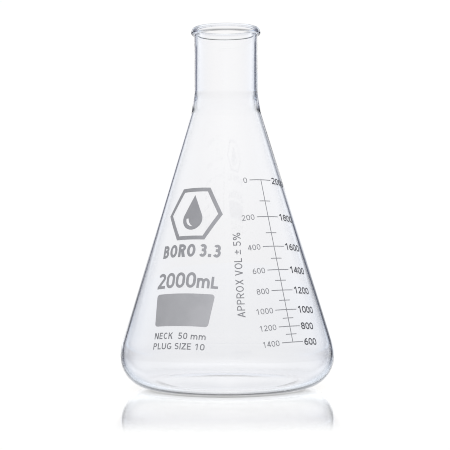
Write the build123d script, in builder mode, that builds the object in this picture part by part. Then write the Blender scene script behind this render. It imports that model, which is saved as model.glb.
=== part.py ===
from build123d import *
import os
from functools import partial
from math import acos, atan, atan2, cos, degrees, hypot, radians, sin, sqrt, tan

# Conical (Erlenmeyer) flask, 2000 mL, narrow mouth with a beaded rim.
# Millimetres, +Z up, origin at the centre of the resting face.
# The graduated scale and the legends are fired enamel on the front of the cone;
# the front of the flask faces -Y, and azimuths are counted from there towards +X.

os.makedirs("parts", exist_ok=True)

# ---------------------------------------------------------------- flask dimensions
body_diameter = 166.0        # widest diameter, at the heel
total_height = 280.0
neck_diameter = 49.4
cone_slope = 0.3055          # radius lost per millimetre of height
cone_apex = 302.5            # height at which the outside of the cone would come to a point
heel_radius = 24.5           # outside rounding between the base and the widest belt
heel_in_radius = 22.0        # the same rounding inside
shoulder_top = 229.0         # height at which the straight neck ends and a short collar begins
shoulder_foot = 213.6        # height at which the collar runs into the cone
shoulder_rounding = 22.0     # rounding of both edges of the collar
neck_root_radius = 45.0      # inside blend between the cone and the neck
wall_cone = 2.1
wall_neck = 2.1
base_thickness = 3.0
push_up = 1.6                # how far the middle of the base is pushed up
ring_inner_radius = 53.0     # resting ring, inner edge
rim_diameter = 54.4
rim_height = 5.5             # height of the beaded rim
rim_cove = 0.45              # hollow under the bead
bead_corner = 1.3            # rounding of the bead's lower edge, across
bead_corner_height = 1.5     # the same rounding, up
lip_rounding = 1.9           # mouth to the crown of the lip, across
lip_drop = 2.3               # crown of the lip to the straight mouth, down

cone_angle = atan(cone_slope)    # between the cone's wall and the axis
cone_sin, cone_cos = sin(cone_angle), cos(cone_angle)
body_r, neck_r, rim_r = body_diameter / 2, neck_diameter / 2, rim_diameter / 2

# ---------------------------------------------------------------- print dimensions
print_thickness = 0.10       # fired enamel film
print_gap = 0.02             # keeps film and glass apart as solids
film_low, film_high = 33.0, 196.0    # heights between which the film is defined
print_reach = 2.0            # half the depth of a letter's cutting prism
wide_reach = 9.0             # the same for wide shapes, which curve further off their plane

# Flat artwork wrapped on the cone: azimuth and height of each block's origin, and its tilt.
# In a block x runs to the right and y towards the neck.
content_block = (35.946, 39.5, 0.281)      # graduated scale
legend_block = (-26.288, 39.744, 0.861)    # emblem, capacity, marking spot, size legends
tolerance_block = (7.918, 39.557, 0.692)   # upright legend between the two


def cone_line(offset):
    """Apex height of the cone moved outwards by offset, measured square to the wall."""
    return cone_apex + offset / cone_sin


# ---------------------------------------------------------------- flask body
def blend(apex, cylinder_r, radius):
    """Concave blend between the cone with that apex and a cylinder: foot, middle, head (r, z)."""
    corner_z = apex - cylinder_r / cone_slope
    reach = radius * tan(cone_angle / 2)
    centre_r, centre_z = cylinder_r + radius, corner_z + reach
    foot = (cylinder_r + reach * cone_sin, corner_z - reach * cone_cos)
    middle = (centre_r - radius * cos(cone_angle / 2), centre_z - radius * sin(cone_angle / 2))
    return foot, middle, (cylinder_r, centre_z)


def direction(start, end):
    """Unit vector from start to end."""
    across, up = end[0] - start[0], end[1] - start[1]
    length = hypot(across, up)
    return across / length, up / length


def rounded(before, corner, after, radius):
    """Arc that rounds a corner between two points: start, middle, end, each (r, z)."""
    back, ahead = direction(corner, before), direction(corner, after)
    inward = direction((0, 0), (back[0] + ahead[0], back[1] + ahead[1]))
    half = acos(back[0] * ahead[0] + back[1] * ahead[1]) / 2
    run, dip = radius / tan(half), radius / sin(half) - radius
    return [
        (corner[0] + way[0] * distance, corner[1] + way[1] * distance)
        for way, distance in ((back, run), (inward, dip), (ahead, run))
    ]


def flare(apex, belt_r, belt_z):
    """Arc from the widest belt, where it is upright, into the cone with that apex:
    start, middle, end, each (r, z)."""
    radius = (apex - belt_z - belt_r / cone_slope) / (cone_sin - (1 - cone_cos) / cone_slope)
    centre = (belt_r - radius, belt_z)
    end = (centre[0] + radius * cone_cos, belt_z + radius * cone_sin)
    return (belt_r, belt_z), arc_middle(centre, radius, 0, degrees(cone_angle)), end


def arc_middle(centre, radius, start, end):
    """Point halfway round an arc; angles in degrees."""
    angle = radians((start + end) / 2)
    return (centre[0] + radius * cos(angle), centre[1] + radius * sin(angle))


def dome_point(radius, rise, foot=0.0):
    """Point half way out on a shallow spherical dome that rises over a circle of that radius."""
    sphere = (radius**2 + rise**2) / (2 * rise)
    return (radius / 2, foot + rise - sphere + sqrt(sphere**2 - radius**2 / 4))


def build_flask_body():
    # outside: heel arc up to the belt, then a flatter arc into the cone
    heel_r = body_r - heel_radius
    belt, flare_middle, cone_foot = flare(cone_apex, body_r, heel_radius)
    collar_foot = ((cone_apex - shoulder_foot) * cone_slope, shoulder_foot)
    collar_top = (neck_r, shoulder_top)
    cone_at_belt = (body_r, cone_apex - body_r / cone_slope)
    low_round = rounded(cone_at_belt, collar_foot, collar_top, shoulder_rounding)
    high_round = rounded(collar_foot, collar_top, (neck_r, total_height), shoulder_rounding)

    # inside: the same, standing on the inner floor
    apex_in = cone_line(-wall_cone)
    neck_in_r = neck_r - wall_neck
    belt_in_r = body_r - wall_cone
    heel_in_r = belt_in_r - heel_in_radius
    heel_in_z = base_thickness + heel_in_radius
    belt_in, flare_in_middle, cone_in_foot = flare(apex_in, belt_in_r, heel_in_z)
    root_foot, root_middle, root_head = blend(apex_in, neck_in_r, neck_root_radius)

    rim_low_z = total_height - rim_height
    bead_z = rim_low_z + bead_corner_height
    bead_corner_r = rim_r - bead_corner
    lip_r = neck_in_r + lip_rounding
    lip_foot_z = total_height - lip_drop
    cove_r, cove_z = neck_r + rim_cove, rim_low_z - rim_cove

    with BuildPart() as body:
        with BuildSketch(Plane.XZ):
            with BuildLine():
                # underside: pushed-up middle, resting ring, heel
                ThreePointArc(
                    (0, push_up), dome_point(ring_inner_radius, push_up), (ring_inner_radius, 0.0)
                )
                Line((ring_inner_radius, 0.0), (heel_r, 0.0))
                ThreePointArc(
                    (heel_r, 0.0), arc_middle((heel_r, heel_radius), heel_radius, -90, 0), belt
                )
                ThreePointArc(belt, flare_middle, cone_foot)
                # cone, collar and neck, outside
                Line(cone_foot, low_round[0])
                ThreePointArc(*low_round)
                Line(low_round[2], high_round[0])
                ThreePointArc(*high_round)
                Line(high_round[2], (neck_r, cove_z))
                # beaded rim: cove under the bead, bead, rounded lip
                EllipticalCenterArc((cove_r, cove_z), rim_cove, rim_cove, 180, arc_size=-90)
                Line((cove_r, rim_low_z), (bead_corner_r, rim_low_z))
                EllipticalCenterArc(
                    (bead_corner_r, bead_z), bead_corner, bead_z - rim_low_z, 270, arc_size=90
                )
                EllipticalCenterArc(
                    (lip_r, bead_z), rim_r - lip_r, total_height - bead_z, 0, arc_size=90
                )
                EllipticalCenterArc(
                    (lip_r, lip_foot_z), lip_r - neck_in_r, lip_drop, 90, arc_size=90
                )
                # inside, from the mouth down to the floor
                Line((neck_in_r, lip_foot_z), root_head)
                ThreePointArc(root_head, root_middle, root_foot)
                Line(root_foot, cone_in_foot)
                ThreePointArc(cone_in_foot, flare_in_middle, belt_in)
                ThreePointArc(
                    belt_in,
                    arc_middle((heel_in_r, heel_in_z), heel_in_radius, 0, -90),
                    (heel_in_r, base_thickness),
                )
                ThreePointArc(
                    (heel_in_r, base_thickness),
                    dome_point(heel_in_r, push_up, base_thickness),
                    (0, base_thickness + push_up),
                )
                Line((0, base_thickness + push_up), (0, push_up))
            make_face()
        revolve(axis=Axis.Z)
    body.part.label = "flask_body"
    export_step(body.part, "parts/flask_body.step")


# ---------------------------------------------------------------- print on the cone
def on_cone(block, x, y, turn=0.0):
    """Plane touching the cone at artwork point (x, y) of a block; its x axis follows the artwork,
    turned by turn degrees."""
    azimuth, height, tilt = block
    tilt = radians(tilt)
    across = x * cos(tilt) - y * sin(tilt)
    along = x * sin(tilt) + y * cos(tilt)
    # polar coordinates about the apex, in the unrolled cone
    slant = (cone_apex - height) / cone_cos
    distance = hypot(across, slant - along)
    swing = atan2(across, slant - along)
    around = radians(azimuth) + swing / cone_sin
    radius = distance * cone_sin
    sideways = Vector(cos(around), sin(around), 0)
    upwards = Vector(-cone_sin * sin(around), cone_sin * cos(around), cone_cos)
    heading = tilt - swing + radians(turn)
    return Plane(
        origin=Vector(
            radius * sin(around), -radius * cos(around), cone_apex - distance * cone_cos
        ),
        x_dir=sideways * cos(heading) + upwards * sin(heading),
        z_dir=Vector(cone_cos * sin(around), -cone_cos * cos(around), cone_sin),
    )


def flat_point(plane, block, x, y):
    """Artwork point (x, y) of a block, laid square onto a plane that touches the cone nearby."""
    point = plane.to_local_coords(on_cone(block, x, y).origin)
    return (point.X, point.Y)


def film_profile():
    """Cross-section of the thin enamel film, which lies along the straight part of the cone."""
    inner, outer = print_gap, print_gap + print_thickness
    shape(*(
        ((cone_line(offset) - z) * cone_slope, z)
        for offset, z in (
            (inner, film_low), (outer, film_low), (outer, film_high), (inner, film_high)
        )
    ))


def build_print(name, sketches, reach=print_reach):
    """Piece of print: flat sketches, each (plane, function that draws it), cut from the film."""
    with BuildPart() as piece:
        for plane, draw in sketches:
            with BuildSketch(plane):
                draw()
        extrude(amount=reach, both=True)
        with BuildSketch(Plane.XZ):
            film_profile()
        revolve(axis=Axis.Z, mode=Mode.INTERSECT)
    piece.part.label = name
    export_step(piece.part, f"parts/{name}.step")


# ---------------------------------------------------------------- strokes
# These draw into the sketch that is open where they are called. A line drawn inside a
# function doesn't reach that sketch by itself, so it is handed to make_face.


def shape(*points, mode=Mode.ADD):
    with BuildLine() as edge:
        Polyline(*points, close=True)
    make_face(edge.line, mode=mode)


def bar(x0, y0, x1, y1):
    shape((x0, y0), (x1, y0), (x1, y1), (x0, y1))


def diagonal(x0, y0, x1, y1, breadth):
    """Slanting bar with level ends; x0 and x1 are the left corners of its ends."""
    shape((x0, y0), (x0 + breadth, y0), (x1 + breadth, y1), (x1, y1))


def band(x, y, half_width, half_height, stroke, start, end):
    """Part of an elliptical ring centred on (x, y), between two angles."""
    sweep = end - start
    with BuildLine() as edge:
        outer = EllipticalCenterArc((x, y), half_width, half_height, start, arc_size=sweep)
        inner = EllipticalCenterArc(
            (x, y), half_width - stroke, half_height - stroke, start, arc_size=sweep
        )
        Line(outer @ 0, inner @ 0)
        Line(outer @ 1, inner @ 1)
    make_face(edge.line)


def ring(x, y, half_width, half_height, stroke):
    band(x, y, half_width, half_height, stroke, 0, 180)
    band(x, y, half_width, half_height, stroke, 180, 360)


def oval(half_width, half_height, stroke):
    """Ring with straight flanks."""
    flank = 0.24 * half_height
    band(0, flank, half_width, half_height - flank, stroke, 0, 180)
    band(0, -flank, half_width, half_height - flank, stroke, 180, 360)
    bar(-half_width, -flank, -half_width + stroke, flank)
    bar(half_width - stroke, -flank, half_width, flank)


# ---------------------------------------------------------------- characters
# A plain sans-serif drawn from bars and elliptical bands, centred on the sketch's origin.
# The fractions below are its letter forms, in parts of a character's width, height and stroke.


def cell(width, height):
    """Left, bottom, right and top of a character."""
    return -width / 2, -height / 2, width / 2, height / 2


def bowls(height, stroke):
    """Half heights of the upper and lower of two stacked bowls."""
    return 0.235 * (height + stroke), 0.265 * (height + stroke)


def draw_figure(char, width, height, stroke):
    left, bottom, right, top = cell(width, height)
    upper, lower = bowls(height, stroke)
    if char == "0":
        oval(width / 2, height / 2, stroke)
    elif char == "1":
        stem = left + 0.50 * width
        flag = stem - 0.34 * width
        bar(stem, bottom, stem + stroke, top)
        shape((stem + stroke * 0.5, top), (stem, top), (flag, top - 0.17 * height),
              (flag, top - 0.17 * height - stroke), (stem + stroke * 0.5, top - 1.1 * stroke))
    elif char == "2":
        x, y = left + 0.49 * width, top - 0.30 * height
        half_width, half_height = 0.49 * width, 0.30 * height
        bend = -30
        band(x, y, half_width, half_height, stroke, bend, 158)
        across, up = cos(radians(bend)), sin(radians(bend))
        shape((x + (half_width - stroke) * across, y + (half_height - stroke) * up),
              (x + half_width * across, y + half_height * up),
              (left + 1.45 * stroke, bottom + 0.8 * stroke), (left, bottom + 0.8 * stroke))
        bar(left, bottom, right, bottom + stroke)
    elif char == "3":
        waist = bottom + 2 * lower
        band(left + 0.47 * width, top - upper, 0.48 * width, upper, stroke, -90, 150)
        band(left + 0.48 * width, bottom + lower, 0.52 * width, lower, stroke, -150, 90)
        bar(left + 0.30 * width, waist - stroke, left + 0.50 * width, waist)
    elif char == "4":
        stem, low = left + 0.62 * width, bottom + 0.22 * height
        bar(stem, bottom, stem + stroke, top)
        bar(left, low, right, low + 0.95 * stroke)
        shape((stem + 0.3 * stroke, top), (stem - 0.15 * stroke, top),
              (left, low + 0.9 * stroke), (left, low + 0.3 * stroke),
              (left + 1.2 * stroke, low + 0.6 * stroke),
              (stem + 0.3 * stroke, top - 1.5 * stroke))
    elif char == "5":
        stem = left + 0.10 * width
        bar(stem, top - stroke, left + 0.92 * width, top)
        bar(stem, bottom + 0.50 * height, stem + stroke, top)
        band(left + 0.47 * width, bottom + 0.325 * height,
             0.53 * width, 0.325 * height, stroke, -152, 138)
    elif char == "6":
        bowl = 0.315 * height
        ring(0, bottom + bowl, width / 2, bowl, stroke)
        band(left + 0.86 * width, bottom + bowl, 0.86 * width, 0.685 * height, stroke, 94, 180)
    elif char == "8":
        ring(0, top - upper, 0.45 * width, upper, stroke)
        ring(0, bottom + lower, 0.50 * width, lower, stroke)


def draw_sign(char, width, height, stroke):
    left, bottom, right, top = cell(width, height)
    if char == "%":
        half_width, half_height = 0.21 * width, 0.25 * height
        slash = 1.1 * stroke
        ring(left + half_width, top - half_height, half_width, half_height, stroke)
        ring(right - half_width, bottom + half_height, half_width, half_height, stroke)
        diagonal(left + 0.16 * width, bottom, right - 0.16 * width - slash, top, slash)
    elif char == "±":
        middle, low = bottom + 0.59 * height, bottom + 0.08 * height
        bar(-stroke / 2, bottom + 0.32 * height, stroke / 2, bottom + 0.86 * height)
        bar(left, middle - stroke / 2, right, middle + stroke / 2)
        bar(left, low, right, low + stroke)
    elif char == ".":
        bar(left, bottom, right, bottom + width)


def draw_straight_letter(char, width, height, stroke):
    left, bottom, right, top = cell(width, height)
    if char in "AV":
        foot, point = (bottom, top) if char == "A" else (top, bottom)
        for side in (-1, 1):
            shape((side * width / 2, foot), (side * (width / 2 - 1.15 * stroke), foot),
                  (-side * 0.55 * stroke, point), (side * 0.55 * stroke, point))
        if char == "A":
            low = bottom + 0.26 * height
            bar(left + 0.22 * width, low, right - 0.22 * width, low + stroke)
    elif char in "EL":
        bar(left, bottom, left + stroke, top)
        bar(left, bottom, right, bottom + stroke)
        if char == "E":
            bar(left, -stroke / 2, right - 0.10 * width, stroke / 2)
            bar(left, top - stroke, right, top)
    elif char == "I":
        bar(left, bottom, right, top)
    elif char == "K":
        arm_x, arm_y = left + 0.8 * stroke, bottom + 0.34 * height
        leg_x, leg_y = left + 0.36 * width, bottom + 0.56 * height
        bar(left, bottom, left + stroke, top)
        shape((arm_x, arm_y), (right, top), (right - 1.3 * stroke, top),
              (arm_x, arm_y + 1.25 * stroke))
        shape((leg_x, leg_y), (leg_x + 0.9 * stroke, leg_y + 0.9 * stroke),
              (right, bottom), (right - 1.3 * stroke, bottom))
    elif char in "NX":
        breadth = 1.25 * stroke
        if char == "N":
            bar(left, bottom, left + stroke, top)
            bar(right - stroke, bottom, right, top)
        diagonal(left, top, right - breadth, bottom, breadth)
        if char == "X":
            diagonal(right - breadth, top, left, bottom, breadth)
    elif char == "Z":
        breadth, inset = 1.4 * stroke, 0.9 * stroke
        bar(left, top - stroke, right, top)
        bar(left, bottom, right, bottom + stroke)
        diagonal(right - breadth, top - inset, left, bottom + inset, breadth)


def draw_stem_and_bowl(char, width, height, stroke):
    """B, P or R."""
    left, bottom, right, top = cell(width, height)
    upper, lower = bowls(height, stroke)
    bowl_x = left + 0.45 * width
    if char == "B":
        high, reach, waist = upper, 0.50 * width, bottom + 2 * lower
    else:
        high, reach = 0.29 * height, 0.55 * width
        waist = top - 2 * high + stroke
    bar(left, bottom, left + stroke, top)
    bar(left, top - stroke, bowl_x, top)
    bar(left, waist - stroke, bowl_x, waist)
    band(bowl_x, top - high, reach, high, stroke, -90, 90)
    if char == "B":
        bar(left, bottom, bowl_x, bottom + stroke)
        band(bowl_x, bottom + lower, 0.55 * width, lower, stroke, -90, 90)
    elif char == "R":
        breadth = 1.25 * stroke
        diagonal(left + 0.34 * width, waist - 0.7 * stroke, right - breadth, bottom, breadth)


def draw_round_letter(char, width, height, stroke):
    left, bottom, right, top = cell(width, height)
    if char == "O":
        ring(0, 0, width / 2, height / 2, stroke)
    elif char == "C":
        band(left + 0.55 * width, 0, 0.55 * width, height / 2, stroke, 48, 312)
    elif char == "G":
        shelf = bottom + 0.47 * height
        band(left + 0.54 * width, 0, 0.54 * width, height / 2, stroke, 48, 325)
        bar(right - stroke, bottom + 0.12 * height, right, shelf)
        bar(left + 0.58 * width, shelf - 0.95 * stroke, right, shelf)
    elif char == "m":
        pitch = (width - stroke) / 2
        arch = min(0.5 * height, 0.62 * (pitch + stroke))
        bar(left, bottom, left + stroke, top)
        for i in (0, 1):
            leg = left + (i + 1) * pitch
            band(left + stroke / 2 + (i + 0.5) * pitch, top - arch,
                 (pitch + stroke) / 2, arch, stroke, 0, 180)
            bar(leg, bottom, leg + stroke, top - arch)
    elif char == "S":
        upper, lower = bowls(height, stroke)
        band(0, top - upper, 0.50 * width, upper, stroke, 32, 270)
        band(0, bottom + lower, 0.50 * width, lower, stroke, -148, 90)
    elif char == "U":
        bowl = 0.38 * height
        bar(left, bottom + bowl, left + stroke, top)
        bar(right - stroke, bottom + bowl, right, top)
        band(0, bottom + bowl, width / 2, bowl, stroke, 180, 360)


drawings = {
    "01234568": draw_figure,
    "%±.": draw_sign,
    "AEIKLNVXZ": draw_straight_letter,
    "BPR": draw_stem_and_bowl,
    "CGmOSU": draw_round_letter,
}


def glyph(plane, char, width, height, stroke):
    """One character as a sketch for build_print."""
    for chars, draw in drawings.items():
        if char in chars:
            return plane, partial(draw, char, width, height, stroke)
    raise ValueError(f"no drawing for {char!r}")


# width of each character beside a figure's
relative_width = {
    "A": 1.18, "B": 1.06, "C": 1.06, "E": 0.90, "G": 1.16, "K": 1.14, "L": 0.84, "m": 1.62,
    "N": 1.16, "O": 1.22, "P": 1.02, "R": 1.10, "S": 0.98, "U": 1.12, "V": 1.16, "X": 1.12,
    "Z": 1.02, "%": 1.62, "±": 0.98,
}
word_space = 0.55            # space between words, beside a figure's width


def spread(text, figure, gap, stroke, space=word_space):
    """Line of text that starts at 0: (list of (character, centre, width), length)."""
    fixed_width = {"I": stroke, ".": 1.15 * stroke}
    placed, x = [], 0.0
    for char in text:
        if char == " ":
            x += space * figure
            continue
        width = fixed_width.get(char, relative_width.get(char, 1.0) * figure)
        placed.append((char, x + width / 2, width))
        x += width + gap
    return placed, x - gap


def spread_to(text, length, gap, stroke, space=word_space):
    """Line of text like spread, with the figure width that makes it as long as length."""
    fixed = spread(text, 0.0, gap, stroke, space)[1]
    per_figure = spread(text, 1.0, gap, stroke, space)[1] - fixed
    return spread(text, (length - fixed) / per_figure, gap, stroke, space)


# ---------------------------------------------------------------- graduated scale
# Distance of each line up the cone from the lowest one, by contents in mL.
marks = {
    600: 0.0, 700: 6.0, 800: 11.9, 900: 18.1, 1000: 24.5, 1100: 31.6, 1200: 39.3, 1300: 46.8,
    1400: 55.0, 1500: 63.8, 1600: 73.1, 1700: 83.6, 1800: 96.3, 1900: 108.6, 2000: 125.4,
}
capacity = 2000
number_step = 200            # every second line is long and numbered
numbered = range(600, capacity + 1, number_step)
spine_x = 0.85
line_width = 0.64
long_mark, short_mark = 19.8, 10.0
contents_offset = 11.4       # spine to the start of the figures on its right
remaining_offset = 12.1      # spine to the end of the figures on its left


def draw_scale(plane):
    Rectangle(line_width, marks[capacity] + line_width)
    for value, climb in marks.items():
        with Locations(flat_point(plane, content_block, spine_x, climb)):
            Rectangle(long_mark if value % number_step == 0 else short_mark, line_width)


def build_scale_ticks():
    # the plane touches the cone all along the spine
    plane = on_cone(content_block, spine_x, marks[capacity] / 2)
    build_print("scale_ticks", [(plane, partial(draw_scale, plane))])


def build_content_numerals():
    """Bold figures to the right of the lines: contents."""
    height, figure, gap, stroke = 5.3, 4.4, 0.62, 1.0
    glyphs = []
    for value in numbered:
        row, _ = spread(str(value), figure, gap, stroke)
        for char, x, width in row:
            plane = on_cone(content_block, spine_x + contents_offset + x, marks[value])
            glyphs.append(glyph(plane, char, width, height, stroke))
    build_print("content_numerals", glyphs)


def build_remaining_numerals():
    """Light figures to the left of the lines: volume left to fill."""
    height, figure, gap, stroke = 4.25, 2.84, 0.70, 0.56
    glyphs = []
    for value in numbered:
        row, length = spread(str(capacity - value), figure, gap, stroke)
        start = spine_x - remaining_offset - length
        for char, x, width in row:
            plane = on_cone(content_block, start + x, marks[value])
            glyphs.append(glyph(plane, char, width, height, stroke))
    build_print("remaining_numerals", glyphs)


# ---------------------------------------------------------------- legends
def build_capacity_legend():
    """Large figures, and a unit set smaller on the same line."""
    start, foot, gap = -26.4, 41.4, 0.95
    # character, width, height, stroke
    characters = [(char, 7.9, 11.8, 2.2) for char in str(capacity)]
    characters += [("m", 9.9, 7.6, 1.95), ("L", 5.4, 9.0, 1.95)]
    glyphs, x = [], start
    for char, width, height, stroke in characters:
        plane = on_cone(legend_block, x + width / 2, foot + height / 2)
        glyphs.append(glyph(plane, char, width, height, stroke))
        x += width + gap
    build_print("capacity_legend", glyphs)


small_letter_cut = 0.28      # how much lower a small letter is, beside a capital's height


def build_legend(name, text, centre, height, stroke, length, gap, space=word_space):
    """One-line legend centred on a point of the legend block."""
    row, _ = spread_to(text, length, gap, stroke, space)
    glyphs = []
    for char, x, width in row:
        cut = small_letter_cut * height if char == "m" else 0.0
        plane = on_cone(legend_block, centre[0] - length / 2 + x, centre[1] - cut / 2)
        glyphs.append(glyph(plane, char, width, height - cut, stroke))
    build_print(name, glyphs)


def build_tolerance_legend():
    """Upright legend, read from below; its characters stand with their heads to the left."""
    height, stroke, gap, length = 5.8, 0.74, 0.92, 64.2
    middle_x, start_y = 0.4, 19.4
    row, _ = spread_to("APPROX VOL ± 5%", length, gap, stroke)
    build_print("tolerance_legend", [
        glyph(on_cone(tolerance_block, middle_x, start_y + along, 90.0),
              char, width, height, stroke)
        for char, along, width in row
    ])


# ---------------------------------------------------------------- marking spot
# Frosted spot for writing on, wider at the top than at the bottom; corners (x, y) in its block.
spot_corners = ((-25.2, 37.1), (23.9, 37.1), (21.3, 12.6), (-22.9, 12.6))
spot_middle = (-0.7, 24.9)
spot_corner_radius = 2.3


def draw_spot(plane):
    with BuildLine() as edge:
        for (ax, ay), (bx, by) in zip(spot_corners, spot_corners[1:] + spot_corners[:1]):
            ThreePointArc(
                flat_point(plane, legend_block, ax, ay),
                flat_point(plane, legend_block, (ax + bx) / 2, (ay + by) / 2),
                flat_point(plane, legend_block, bx, by),
            )
    make_face(edge.line)
    fillet(vertices(), radius=spot_corner_radius)


def build_marking_spot():
    plane = on_cone(legend_block, *spot_middle)
    build_print("marking_spot", [(plane, partial(draw_spot, plane))], wide_reach)


# ---------------------------------------------------------------- emblem
# Plain pictogram: a drop inside a hexagon.
emblem_x, emblem_y = -1.0, 98.6
hexagon_radius, hexagon_band = 23.4, 3.0
corner_factor = 1.155        # band width at a hexagon's corner, beside that at its side
drop_r, drop_low, drop_tip = 8.2, -4.4, 14.6    # round bottom's radius and centre, tip


def draw_hexagon(plane, radius, mode):
    corners = []
    for i in range(6):
        angle = radians(60 * i)
        x, y = emblem_x + radius * cos(angle), emblem_y + radius * sin(angle)
        corners.append(flat_point(plane, legend_block, x, y))
    shape(*corners, mode=mode)


def draw_drop():
    """Round bottom with a tail that narrows to a point, less a clear crescent."""
    tangent = atan2(drop_r, sqrt((drop_tip - drop_low) ** 2 - drop_r**2))
    touch_x, touch_y = drop_r * cos(tangent), drop_low + drop_r * sin(tangent)
    with BuildLine() as drop:
        Line((0, drop_tip), (touch_x, touch_y))
        ThreePointArc((touch_x, touch_y), (0, drop_low - drop_r), (-touch_x, touch_y))
        Line((-touch_x, touch_y), (0, drop_tip))
    make_face(drop.line)

    outer_end, inner_end = (-5.2, drop_low + 0.6), (-3.3, drop_low + 0.6)
    point = (0.8, drop_low - 5.4)
    with BuildLine() as crescent:
        ThreePointArc(outer_end, (-3.55, drop_low - 3.9), point)
        ThreePointArc(point, (-2.1, drop_low - 2.9), inner_end)
        Line(inner_end, outer_end)
    make_face(crescent.line, mode=Mode.SUBTRACT)


def draw_emblem(plane):
    draw_hexagon(plane, hexagon_radius, Mode.ADD)
    draw_hexagon(plane, hexagon_radius - hexagon_band * corner_factor, Mode.SUBTRACT)
    draw_drop()


def build_emblem():
    plane = on_cone(legend_block, emblem_x, emblem_y)
    build_print("emblem", [(plane, partial(draw_emblem, plane))], wide_reach)


# ---------------------------------------------------------------- all pieces
build_flask_body()
build_scale_ticks()
build_content_numerals()
build_remaining_numerals()
build_capacity_legend()
build_marking_spot()
build_legend("size_legend", "NECK  50 mm", centre=(-0.5, 5.4),
             height=4.8, stroke=0.78, length=42.4, gap=0.94)
build_legend("plug_legend", "PLUG SIZE 10", centre=(-0.5, -2.3),
             height=4.7, stroke=0.76, length=42.4, gap=0.84)
build_legend("glass_legend", "BORO 3.3", centre=(-0.4, 70.0),
             height=9.9, stroke=2.15, length=49.4, gap=1.25, space=0.35)
build_tolerance_legend()
build_emblem()
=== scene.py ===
"""A conical laboratory flask in clear borosilicate glass, with enamel prints on its wall.

It stands upright on the XY plane with its axis on Z. The camera looks at it from -Y,
so +X is on the right. The glass is turned from a profile in millimetres; the prints
are the CAD pieces with new materials. The studio is painted by direction in the world
and floor shaders, and turns with the camera.
"""
import bpy
import math
from mathutils import Matrix, Vector


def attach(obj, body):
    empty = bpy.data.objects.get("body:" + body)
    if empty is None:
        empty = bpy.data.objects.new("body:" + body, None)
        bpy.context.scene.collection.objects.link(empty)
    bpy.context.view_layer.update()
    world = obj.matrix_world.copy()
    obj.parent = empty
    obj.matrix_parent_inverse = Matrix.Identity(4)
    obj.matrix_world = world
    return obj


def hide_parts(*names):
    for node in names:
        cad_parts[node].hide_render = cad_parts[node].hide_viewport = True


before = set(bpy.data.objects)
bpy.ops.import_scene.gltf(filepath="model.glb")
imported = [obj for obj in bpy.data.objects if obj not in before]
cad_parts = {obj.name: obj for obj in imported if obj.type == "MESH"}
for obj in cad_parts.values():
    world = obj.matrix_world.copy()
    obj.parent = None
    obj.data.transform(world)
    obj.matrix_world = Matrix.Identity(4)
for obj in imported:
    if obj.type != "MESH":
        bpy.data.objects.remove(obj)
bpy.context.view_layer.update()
scene = bpy.context.scene

MM = 0.001


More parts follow.
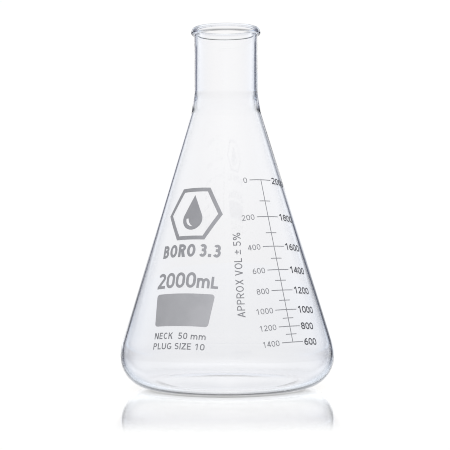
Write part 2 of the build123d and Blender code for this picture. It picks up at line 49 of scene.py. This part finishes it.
# ---------------------------------------------------------------- node helpers
class NodeNet:
    """Wires the node tree of a material or world; most calls return an output socket."""

    def __init__(self, owner, clear=False):
        owner.use_nodes = True
        self.tree = owner.node_tree
        if clear:
            self.tree.nodes.clear()

    def new(self, kind, **settings):
        node = self.tree.nodes.new(kind)
        for key, value in settings.items():
            setattr(node, key, value)
        return node

    def find(self, kind):
        return next(node for node in self.tree.nodes if node.type == kind)

    def put(self, socket, value):
        """Links a socket, or sets a plain value."""
        if isinstance(value, bpy.types.NodeSocket):
            self.tree.links.new(value, socket)
        else:
            socket.default_value = value

    def put_all(self, node, values):
        for socket, value in zip(node.inputs, values):
            self.put(socket, value)

    def calc(self, operation, *values):
        node = self.new("ShaderNodeMath", operation=operation)
        self.put_all(node, values)
        return node.outputs[0]

    def times(self, first, second):
        return self.calc("MULTIPLY", first, second)

    def one_minus(self, value):
        return self.calc("SUBTRACT", 1.0, value)

    def vector(self, operation, *values):
        node = self.new("ShaderNodeVectorMath", operation=operation)
        self.put_all(node, values)
        is_number = operation in ("DOT_PRODUCT", "LENGTH")
        return node.outputs["Value" if is_number else "Vector"]

    def scaled(self, vector, factor):
        node = self.new("ShaderNodeVectorMath", operation="SCALE")
        self.put(node.inputs[0], vector)
        self.put(node.inputs["Scale"], factor)
        return node.outputs["Vector"]

    def split(self, vector):
        node = self.new("ShaderNodeSeparateXYZ")
        self.put(node.inputs[0], vector)
        return node.outputs

    def join(self, x, y, z):
        node = self.new("ShaderNodeCombineXYZ")
        self.put_all(node, (x, y, z))
        return node.outputs[0]

    def mapped(self, value, span, to=(0.0, 1.0), kind="SMOOTHSTEP"):
        """Carries the span (from, to) of the value over to another, clamped at both ends."""
        node = self.new("ShaderNodeMapRange", interpolation_type=kind, clamp=True)
        self.put(node.inputs["Value"], value)
        for side, limits in (("From", span), ("To", to)):
            self.put(node.inputs[side + " Min"], limits[0])
            self.put(node.inputs[side + " Max"], limits[1])
        return node.outputs["Result"]

    def around(self, turn, stops):
        """Ramp over the turn; stops are degrees from straight ahead: brightness or colour."""
        node = self.new("ShaderNodeValToRGB")
        ramp = node.color_ramp
        ramp.interpolation = "LINEAR"
        while len(ramp.elements) < len(stops):
            ramp.elements.new(0.5)
        for element, (degrees, tone) in zip(ramp.elements, stops.items()):
            colour = (tone,) * 3 if isinstance(tone, float) else tone
            element.position = degrees / 180.0
            element.color = (*colour, 1)
        self.put(node.inputs["Fac"], turn)
        return node.outputs["Color"]

    def mix(self, factor, first, second):
        node = self.new("ShaderNodeMix", data_type="RGBA", blend_type="MIX")
        node.clamp_factor = True
        self.put(node.inputs["Factor"], factor)
        for key, colour in (("A", first), ("B", second)):
            self.put(node.inputs[key], (*colour, 1) if isinstance(colour, tuple) else colour)
        return node.outputs["Result"]

    def noise(self, place, scale, detail, roughness=0.5):
        node = self.new("ShaderNodeTexNoise")
        self.put(node.inputs["Vector"], place)
        node.inputs["Scale"].default_value = scale
        node.inputs["Detail"].default_value = detail
        node.inputs["Roughness"].default_value = roughness
        return node.outputs["Fac"]

    def horizontal(self, vector):
        """The level part of a direction, at unit length."""
        return self.vector("NORMALIZE", self.vector("MULTIPLY", vector, (1, 1, 0)))

    def camera_axes(self):
        """View direction, its level part, and the level direction to the camera's right."""
        node = self.new(
            "ShaderNodeVectorTransform",
            vector_type="VECTOR", convert_from="CAMERA", convert_to="WORLD",
        )
        node.inputs[0].default_value = (0, 0, 1)
        view = self.vector("NORMALIZE", node.outputs[0])
        ahead = self.horizontal(view)
        x, y, _ = self.split(ahead)
        return view, ahead, self.join(y, self.times(x, -1), 0.0)

    def bearing(self, direction, ahead, right):
        """Turn (0 away from the camera, 1 back at it), side (-1 left, 1 right), height (-1 to 1)."""
        unit = self.vector("NORMALIZE", direction)
        _, _, height = self.split(unit)
        level = self.horizontal(unit)
        cosine = self.calc("MAXIMUM", self.vector("DOT_PRODUCT", level, ahead), -1.0)
        cosine = self.calc("MINIMUM", cosine, 1.0)
        turn = self.calc("DIVIDE", self.calc("ARCCOSINE", cosine), math.pi)
        return turn, self.vector("DOT_PRODUCT", level, right), height


# ---------------------------------------------------------------- studio: world
# Colours near the horizon on either side, by degrees from straight ahead:
# bright backdrop, dark flag, then brighter towards the back of the camera.
RING_LEFT = {
    0: (0.950, 0.942, 0.952), 8: (0.99, 0.985, 1.00), 13: (1.10, 1.11, 1.14),
    19: (1.08, 1.10, 1.14), 22.5: (0.55, 0.57, 0.62), 26: (0.08, 0.08, 0.12),
    34: (0.15, 0.16, 0.22), 44: (0.30, 0.31, 0.38), 60: (0.38, 0.38, 0.43),
    78: (0.36, 0.36, 0.41), 100: (0.55, 0.55, 0.57), 135: (0.83, 0.81, 0.78),
    180: (1.00, 1.00, 1.00),
}
RING_RIGHT = {
    0: (0.950, 0.942, 0.952), 8: (0.99, 0.985, 1.00), 13: (1.08, 1.09, 1.12),
    18.5: (1.05, 1.07, 1.12), 22: (0.55, 0.58, 0.65), 26: (0.09, 0.10, 0.15),
    34: (0.03, 0.035, 0.06), 44: (0.19, 0.21, 0.29), 60: (0.39, 0.40, 0.47),
    78: (0.43, 0.44, 0.51), 100: (0.65, 0.66, 0.68), 135: (0.87, 0.86, 0.84),
    180: (1.00, 1.00, 1.00),
}
# Higher bands of the sky: (span of heights over which the band takes over, brightness)
SKY_BANDS = (
    # shelf of shadow above the backdrop
    ((0.17, 0.45),
     {0: 0.66, 12: 0.50, 20: 0.42, 32: 0.66, 48: 0.95, 75: 0.80, 110: 0.62, 180: 0.68}),
    # valance, darkest ahead
    ((0.50, 0.69), {0: 0.21, 16: 0.11, 26: 0.14, 42: 0.50, 60: 0.82, 100: 0.98, 180: 0.92}),
    # soft overhead source that reaches back over the camera
    ((0.74, 0.92), {0: 0.42, 20: 0.50, 42: 0.78, 75: 1.28, 100: 1.50, 180: 1.75}),
)
CORNER_SHADE = {0: 0.0, 13.5: 0.0, 18: 0.55, 24: 0.60, 30: 0.0}
SOFT_BOXES = {0: 0.0, 28: 0.0, 37: 0.90, 54: 1.0, 76: 1.0, 92: 0.3, 110: 0.0}
BOX_LOW, BOX_HIGH = (0.57, 0.69, 0.87), (0.86, 0.90, 0.99)


def horizon_ring(net, turn, side):
    left = net.around(turn, RING_LEFT)
    right = net.around(turn, RING_RIGHT)
    return net.mix(net.mapped(side, (-0.2, 0.2)), left, right)


def build_world():
    world = bpy.data.worlds.new("studio")
    scene.world = world
    net = NodeNet(world, clear=True)
    direction = net.new("ShaderNodeTexCoord").outputs["Generated"]
    _, ahead, right = net.camera_axes()
    turn, side, height = net.bearing(direction, ahead, right)

    # the horizon ring, slightly warmed and a little brighter higher up
    sky = net.vector("MULTIPLY", horizon_ring(net, turn, side), (1.0, 0.992, 0.980))
    sky = net.scaled(sky, net.mapped(height, (-0.03, 0.08), to=(0.965, 1.020)))

    # the flags cut off the lower corners of the backdrop
    corner = net.around(turn, CORNER_SHADE)
    corner = net.times(corner, net.mapped(height, (0.10, 0.05), to=(0.30, 1.0)))
    sky = net.scaled(sky, net.one_minus(corner))

    # soft boxes a little above the horizon on either side, split by a thin dark gap
    # that keeps the edges of the neck crisp
    glow = net.mix(net.mapped(height, (0.06, 0.17)), BOX_LOW, BOX_HIGH)
    gap = net.times(net.mapped(height, (0.090, 0.104)), net.mapped(height, (0.180, 0.162)))
    gap = net.times(gap, net.mapped(turn, (40 / 180, 52 / 180), to=(0.92, 0.1)))
    box = net.times(net.around(turn, SOFT_BOXES), net.one_minus(gap))
    box = net.times(box, net.mapped(height, (0.045, 0.075), to=(0.0, 0.92)))
    sky = net.mix(box, sky, glow)

    for span, stops in SKY_BANDS:
        sky = net.mix(net.mapped(height, span), sky, net.around(turn, stops))

    # diffuse surfaces get a plain fill (side * slope + middle), stronger from the right
    # and faintly blue; the camera sees plain white
    rays = net.new("ShaderNodeLightPath").outputs
    fill = net.calc("MULTIPLY_ADD", side, 0.52, 0.58)
    sky = net.mix(rays["Is Diffuse Ray"], sky, net.join(fill, fill, net.times(fill, 1.03)))
    sky = net.mix(rays["Is Camera Ray"], sky, (1.02, 1.02, 1.02))
    background = net.new("ShaderNodeBackground")
    net.put(background.inputs["Color"], sky)
    output = net.new("ShaderNodeOutputWorld")
    net.put(output.inputs["Surface"], background.outputs[0])


# ---------------------------------------------------------------- studio: floor
FLOOR_SIZE = 12
FLOOR_Z = -0.0001  # just under the flask
# What the glass shows of the table, by degrees from straight ahead: painted light that the glowing
# floor gives off
TABLE_SHADE = {0: 0.0, 14: 0.0, 20: 0.45, 30: 0.80, 44: 0.70, 54: 0.0}
TABLE_MIDDLE = {
    0: (0.91, 0.91, 0.94), 7: (0.91, 0.92, 0.96), 12: (1.12, 1.16, 1.22),
    17: (1.25, 1.30, 1.38), 22: (1.20, 1.26, 1.36), 30: (0.60, 0.65, 0.72),
    42: (0.45, 0.48, 0.54), 54: (0.78, 0.80, 0.84), 78: (0.86, 0.87, 0.90),
    110: (0.97, 0.95, 0.93), 180: (1.33, 1.31, 1.22),
}
TABLE_STEEP = {0: 0.96, 25: 0.86, 45: 0.82, 75: 0.55, 105: 0.52, 140: 0.82, 180: 1.15}


def painted_table_glow(net, bearing, beyond, level_view):
    """Colour of the table for rays that come by way of the glass: painted light and shade that the
    floor gives off, not light it receives.
    """
    turn, side, height = bearing
    # just under the horizon: the same ring, with a shaded band
    near = net.mapped(height, (-0.07, -0.01), to=(0.925, 0.965))
    near = net.scaled(horizon_ring(net, turn, side), near)
    band = net.times(
        net.mapped(height, (-0.02, -0.045)),
        net.mapped(height, (-0.13, -0.09)),
    )
    shade = net.times(net.around(turn, TABLE_SHADE), band)
    near = net.scaled(near, net.one_minus(shade))
    # the table ends a little way behind the flask; beyond it is a touch darker
    past_edge = net.times(net.mapped(beyond, (0.134, 0.148)), level_view)
    near = net.scaled(near, net.calc("SUBTRACT", 1.065, net.times(past_edge, 0.065)))
    # further down: the bright table top, then the steepest rays
    middle = net.around(turn, TABLE_MIDDLE)
    colour = net.mix(net.mapped(height, (-0.12, -0.34)), near, middle)
    steep = net.around(turn, TABLE_STEEP)
    return net.mix(net.mapped(height, (-0.50, -0.77)), colour, steep)


def floor_material():
    material = bpy.data.materials.new("floor_white")
    net = NodeNet(material, clear=True)
    geometry = net.new("ShaderNodeNewGeometry").outputs
    rays = net.new("ShaderNodeLightPath").outputs
    view, ahead, right = net.camera_axes()
    bearing = net.bearing(net.scaled(geometry["Incoming"], -1.0), ahead, right)
    x, y, _ = net.split(geometry["Position"])
    place = net.join(x, y, 0.0)
    radius = net.vector("LENGTH", place)
    beyond = net.vector("DOT_PRODUCT", place, ahead)
    # 1 when the camera looks nearly level, 0 from well above
    _, _, view_z = net.split(view)
    level_view = net.mapped(net.calc("ABSOLUTE", view_z), (0.12, 0.25), to=(1.0, 0.0))

    colour = painted_table_glow(net, bearing, beyond, level_view)
    # diffuse surfaces see the floor as a plain grey glow: painted bounce light
    colour = net.mix(rays["Is Diffuse Ray"], colour, (0.50, 0.50, 0.51))
    # seen directly, it glows plain white with a painted contact shadow, darker where the heel closes
    # down on it
    painted_contact_shadow = net.mapped(radius, (0.062, 0.084), to=(0.84, 1.0))
    direct = net.scaled((1.03, 1.035, 1.03), painted_contact_shadow)
    # the floor is not lit: its emission is painted light, with its shade painted in too
    emission = net.new("ShaderNodeEmission")
    net.put(emission.inputs["Color"], net.mix(rays["Is Camera Ray"], colour, direct))

    # the reflection greys towards its far end, within the flask's own width
    gloss = net.new("ShaderNodeBsdfGlossy")
    gloss.inputs["Roughness"].default_value = 0.02
    across = net.calc("ABSOLUTE", net.vector("DOT_PRODUCT", place, right))
    greying = net.times(
        net.mapped(radius, (0.105, 0.185), kind="LINEAR"),
        net.mapped(across, (0.066, 0.072), to=(1.0, 0.0)),
    )
    tint = net.mix(greying, (1.03, 1.03, 1.02), (0.82, 0.82, 0.845))
    net.put(gloss.inputs["Color"], tint)

    # it fades out with distance, and is weaker when seen from well above
    fade = net.mapped(radius, (0.185, 0.260), to=(0.60, 0.0))
    share = net.times(fade, rays["Is Camera Ray"])
    share = net.times(share, net.calc("MULTIPLY_ADD", level_view, 0.72, 0.28))
    shader = net.new("ShaderNodeMixShader")
    net.put_all(shader, (share, emission.outputs[0], gloss.outputs[0]))
    output = net.new("ShaderNodeOutputMaterial")
    net.put(output.inputs["Surface"], shader.outputs[0])
    return material


def build_floor():
    bpy.ops.mesh.primitive_plane_add(size=FLOOR_SIZE, location=(0, 0, FLOOR_Z))
    floor = bpy.context.object
    floor.name = "floor"
    floor.data.materials.append(floor_material())


# ---------------------------------------------------------------- glass: profile, in mm
SLOPE = 0.3055  # radius lost per height on the cone
APEX = 302.5  # height at which the outer cone would close
CONE_ANGLE = math.atan(SLOPE)
CONE_SIN, CONE_COS = math.sin(CONE_ANGLE), math.cos(CONE_ANGLE)
BODY_R, NECK_R, RIM_R, TOP = 83.0, 24.7, 27.2, 280.0
WALL, NECK_WALL, BASE = 2.1, 2.1, 3.0
HEEL_R, HEEL_IN_R = 24.5, 22.0  # roundings between base and wall, outside and inside
PUSH, RING_IN = 1.6, 53.0  # rise of the base's middle; inner radius of the standing ring
SHOULDER_TOP, SHOULDER_FOOT, SHOULDER_R = 229.0, 213.6, 22.0
ROOT_R = 45.0  # inner rounding between cone and neck
COVE, CORNER = 0.45, 1.3  # roundings where the bead meets the neck and at its lower edge
LIP, LIP_DROP = 1.9, 2.3  # width and height of the lip's inner rounding
BEAD_LOW = TOP - 5.5
BEAD_Z = BEAD_LOW + 1.5  # widest height of the bead

NECK_IN_R = NECK_R - NECK_WALL
APEX_IN = APEX - WALL / CONE_SIN
SEGMENTS = 320

# The inner wall wanders between these heights, fading in and out over WANDER_FADE
WANDER_LOW, WANDER_HIGH, WANDER_FADE = 12.0, 266.0, 25.0
WANDER_SHIFT = -0.20  # offset of the inner wall along X


def arc(centre, radii, degrees, steps):
    start, end = degrees
    points = []
    for i in range(steps + 1):
        angle = math.radians(start + (end - start) * i / steps)
        points.append((
            centre[0] + radii[0] * math.cos(angle),
            centre[1] + radii[1] * math.sin(angle),
        ))
    return points


def straight(start, end, steps):
    return [
        tuple(a + (b - a) * i / steps for a, b in zip(start, end))
        for i in range(steps + 1)
    ]


def dome(radius, rise, foot, steps):
    """Shallow spherical cap from the axis outwards."""
    sphere = (radius**2 + rise**2) / (2 * rise)
    radii = [radius * i / steps for i in range(steps + 1)]
    return [(r, foot + rise - sphere + math.sqrt(sphere * sphere - r**2)) for r in radii]


def rounded(before, corner, after, radius, steps):
    """Points of the arc that rounds the corner between two neighbours."""
    before, corner, after = (Vector((*point, 0)) for point in (before, corner, after))
    back, onward = (before - corner).normalized(), (after - corner).normalized()
    half = back.angle(onward) / 2
    centre = corner + (back + onward).normalized() * (radius / math.sin(half))
    start = (corner + back * (radius / math.tan(half))) - centre
    end = (corner + onward * (radius / math.tan(half))) - centre
    points = []
    for i in range(steps + 1):
        spoke = start.lerp(end, i / steps).normalized() * radius
        points.append((centre.x + spoke.x, centre.y + spoke.y))
    return points


def flare(apex, belt_r, belt_z):
    """Radius of the arc that leaves the belt upright and runs into the cone with that apex."""
    return (apex - belt_z - belt_r / SLOPE) / (CONE_SIN - (1 - CONE_COS) / SLOPE)


def outer_profile():
    """(radius, z) from the middle of the base up to the crown of the lip."""
    heel = (BODY_R - HEEL_R, HEEL_R)
    flare_r = flare(APEX, BODY_R, HEEL_R)
    cone_foot = (BODY_R, APEX - BODY_R / SLOPE)
    foot = ((APEX - SHOULDER_FOOT) * SLOPE, SHOULDER_FOOT)
    top = (NECK_R, SHOULDER_TOP)
    low = rounded(cone_foot, foot, top, SHOULDER_R, 6)
    high = rounded(foot, top, (NECK_R, TOP), SHOULDER_R, 6)

    path = dome(RING_IN, PUSH, 0, 14)
    path += straight((RING_IN, 0), (heel[0], 0), 3)[1:]
    path += arc(heel, (HEEL_R, HEEL_R), (-90, 0), 30)[1:]
    flare_centre = (BODY_R - flare_r, HEEL_R)
    path += arc(flare_centre, (flare_r, flare_r), (0, math.degrees(CONE_ANGLE)), 8)[1:]
    path += straight(path[-1], low[0], 10)[1:]
    path += low[1:] + straight(low[-1], high[0], 3)[1:] + high[1:]
    path += straight(path[-1], (NECK_R, BEAD_LOW - COVE), 4)[1:]
    path += arc((NECK_R + COVE, BEAD_LOW - COVE), (COVE, COVE), (180, 90), 8)[1:]
    path += straight(path[-1], (RIM_R - CORNER, BEAD_LOW), 2)[1:]
    path += arc((RIM_R - CORNER, BEAD_Z), (CORNER, BEAD_Z - BEAD_LOW), (-90, 0), 10)[1:]
    crown_r = NECK_IN_R + LIP
    path += arc((crown_r, BEAD_Z), (RIM_R - NECK_IN_R - LIP, TOP - BEAD_Z), (0, 90), 14)[1:]
    return path


def inner_profile():
    """(radius, z) from just inside the crown down to the middle of the inner floor."""
    degrees = math.degrees(CONE_ANGLE)
    root_z = APEX_IN - NECK_IN_R / SLOPE + ROOT_R * math.tan(CONE_ANGLE / 2)
    belt_r, belt_z = BODY_R - WALL, BASE + HEEL_IN_R
    flare_r = flare(APEX_IN, belt_r, belt_z)
    flare_x = belt_r - flare_r
    heel_x = belt_r - HEEL_IN_R

    path = arc((NECK_IN_R + LIP, TOP - LIP_DROP), (LIP, LIP_DROP), (90, 180), 12)[1:]
    path += straight(path[-1], (NECK_IN_R, root_z), 4)[1:]
    path += arc((NECK_IN_R + ROOT_R, root_z), (ROOT_R, ROOT_R), (180, 180 + degrees), 8)[1:]
    flare_top = (flare_x + flare_r * CONE_COS, belt_z + flare_r * CONE_SIN)
    path += straight(path[-1], flare_top, 10)[1:]
    path += arc((flare_x, belt_z), (flare_r, flare_r), (degrees, 0), 8)[1:]
    path += arc((heel_x, belt_z), (HEEL_IN_R, HEEL_IN_R), (0, -90), 30)[1:]
    path += dome(heel_x, PUSH, BASE, 16)[::-1][1:]
    return path


def wander(angle, z):
    """Change of the inner radius: two and three lobes that twist with height, and ripples."""
    return (
        0.060 * math.sin(2 * angle + 0.7 + z * 0.011)
        + 0.040 * math.sin(3 * angle + 2.1 - z * 0.023)
        + 0.030 * math.sin(z * 0.085 + 1.3 + math.sin(angle))
    )


def wander_weight(z):
    upper = min(1.0, max(0.0, (WANDER_HIGH - z) / WANDER_FADE))
    return upper * min(1.0, max(0.0, (z - WANDER_LOW) / WANDER_FADE))


def turned(name, outer, inner):
    """One closed mesh turned round Z. The inner wall wanders a little, as blown glass does."""
    verts, faces, rings = [], [], []
    rows = [(r, z, False) for r, z in outer] + [(r, z, True) for r, z in inner]
    for radius, z, is_inner in rows:
        first = len(verts)
        if radius < 1e-9:
            rings.append([first])
            verts.append((0.0, 0.0, z * MM))
            continue
        weight = wander_weight(z) if is_inner else 0.0
        for k in range(SEGMENTS):
            angle = 2 * math.pi * k / SEGMENTS
            r = radius + wander(angle, z) * weight
            x = r * math.cos(angle) + WANDER_SHIFT * weight
            verts.append((x * MM, r * math.sin(angle) * MM, z * MM))
        rings.append(list(range(first, len(verts))))
    for ring, after in zip(rings, rings[1:]):
        for k in range(SEGMENTS):
            k2 = (k + 1) % SEGMENTS
            if len(ring) == 1:
                faces.append((ring[0], after[k2], after[k]))
            elif len(after) == 1:
                faces.append((ring[k], ring[k2], after[0]))
            else:
                faces.append((ring[k], ring[k2], after[k2], after[k]))
    mesh = bpy.data.meshes.new(name)
    mesh.from_pydata(verts, [], faces)
    mesh.validate()
    mesh.polygons.foreach_set("use_smooth", [True] * len(mesh.polygons))
    mesh.update()
    body = bpy.data.objects.new(name, mesh)
    scene.collection.objects.link(body)
    return body


def glass_material():
    """Clear glass with faint smears and a blue tint in its depth."""
    material = bpy.data.materials.new("borosilicate_glass")
    net = NodeNet(material)
    surface = net.find("BSDF_PRINCIPLED").inputs
    place = net.new("ShaderNodeTexCoord").outputs["Object"]
    surface["Transmission Weight"].default_value = 1.0
    surface["IOR"].default_value = 1.474
    tone = net.noise(place, scale=9.0, detail=2.0)
    net.put(surface["Base Color"], net.mix(tone, (0.985, 0.992, 1.0), (0.995, 0.998, 1.0)))
    smear = net.noise(place, scale=35.0, detail=4.0, roughness=0.6)
    net.put(surface["Roughness"], net.mapped(smear, (0.45, 0.75), to=(0.0, 0.012)))
    volume = net.new("ShaderNodeVolumeAbsorption")
    volume.inputs["Color"].default_value = (0.55, 0.68, 0.90, 1)
    volume.inputs["Density"].default_value = 9.0
    net.put(net.find("OUTPUT_MATERIAL").inputs["Volume"], volume.outputs[0])
    return material


def build_flask():
    body = turned("flask_glass", outer_profile(), inner_profile())
    body.data.materials.append(glass_material())
    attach(body, "root")
    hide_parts("flask_body")


# ---------------------------------------------------------------- enamel prints
# (material, light tone, dark tone, CAD pieces that wear it)
ENAMELS = (
    ("enamel_spot", (0.59, 0.595, 0.62), (0.53, 0.535, 0.56), ("marking_spot",)),
    ("enamel_grey", (0.48, 0.485, 0.51), (0.42, 0.425, 0.45),
     ("emblem", "glass_legend", "capacity_legend")),
    ("enamel_mid", (0.33, 0.335, 0.355), (0.27, 0.275, 0.295),
     ("size_legend", "plug_legend", "tolerance_legend", "remaining_numerals", "scale_ticks")),
    # content numerals: the same enamel, its tone lowered as painted shade where the scale turns
    # sideways, away from the light
    ("enamel_dark", (0.110, 0.113, 0.125), (0.080, 0.083, 0.095), ("content_numerals",)),
)


def enamel(name, light, dark):
    """Fired enamel: cloudy in tone, with a fine grain."""
    material = bpy.data.materials.new(name)
    net = NodeNet(material)
    surface = net.find("BSDF_PRINCIPLED").inputs
    place = net.new("ShaderNodeTexCoord").outputs["Object"]
    cloud = net.noise(place, scale=60.0, detail=3.0, roughness=0.55)
    grain = net.noise(place, scale=2600.0, detail=2.0, roughness=0.6)
    tone = net.calc("ADD", net.times(cloud, 0.6), net.times(grain, 0.4))
    net.put(surface["Base Color"], net.mix(net.mapped(tone, (0.36, 0.64)), dark, light))
    net.put(surface["Roughness"], net.mapped(grain, (0.3, 0.7), to=(0.34, 0.52)))
    bump = net.new("ShaderNodeBump")
    bump.inputs["Strength"].default_value = 0.25
    bump.inputs["Distance"].default_value = 0.00003
    net.put(bump.inputs["Height"], grain)
    net.put(surface["Normal"], bump.outputs[0])
    return material


def finish_prints():
    for name, light, dark, pieces in ENAMELS:
        material = enamel(name, light, dark)
        for piece in pieces:
            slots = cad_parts[piece].data.materials
            slots.clear()
            slots.append(material)


# ---------------------------------------------------------------- lamp, camera, render
LAMP_PLACE = Vector((-0.35, -1.25, 0.95))
LAMP_TARGET = Vector((0, 0, 0.11))
CAMERA_PLACE = (0, -1.0, 0.113)
# degrees: tilt upwards, turn to the left, roll about the view axis
CAMERA_PITCH, CAMERA_YAW, CAMERA_ROLL = 0.7424330, 0.07603651, -0.28


def add_lamp():
    """Soft source above and to the left of the camera; it lights only diffuse surfaces."""
    light = bpy.data.lights.new("soft_source", "AREA")
    light.shape = "RECTANGLE"
    light.size, light.size_y = 0.9, 0.7
    light.energy = 6.0
    lamp = bpy.data.objects.new("soft_source", light)
    scene.collection.objects.link(lamp)
    lamp.location = LAMP_PLACE
    lamp.rotation_mode = "QUATERNION"
    lamp.rotation_quaternion = (LAMP_TARGET - lamp.location).to_track_quat("-Z", "Y")
    lamp.visible_glossy = False
    lamp.visible_transmission = False
    lamp.visible_camera = False


def add_camera():
    lens = bpy.data.cameras.new("camera")
    lens.sensor_width = 36.0
    lens.lens = 102.48
    lens.clip_start, lens.clip_end = 0.01, 50
    camera = bpy.data.objects.new("camera", lens)
    scene.collection.objects.link(camera)
    camera.location = CAMERA_PLACE
    yaw = Matrix.Rotation(math.radians(CAMERA_YAW), 3, "Z")
    pitch = Matrix.Rotation(math.pi / 2 + math.radians(CAMERA_PITCH), 3, "X")
    roll = Matrix.Rotation(math.radians(CAMERA_ROLL), 3, "Z")
    camera.rotation_euler = (yaw @ pitch @ roll).to_euler()
    scene.camera = camera


def set_render():
    view = scene.view_settings
    view.view_transform = "Standard"
    view.look = "None"
    view.exposure = 0.0
    view.gamma = 1.0
    cycles = scene.cycles
    cycles.max_bounces = 24
    cycles.transmission_bounces = 24
    cycles.glossy_bounces = 12
    cycles.transparent_max_bounces = 16
    cycles.caustics_reflective = True
    cycles.caustics_refractive = True
    cycles.blur_glossy = 0.0
    cycles.filter_width = 1.0


build_world()
build_floor()
build_flask()
finish_prints()
add_lamp()
add_camera()
set_render()
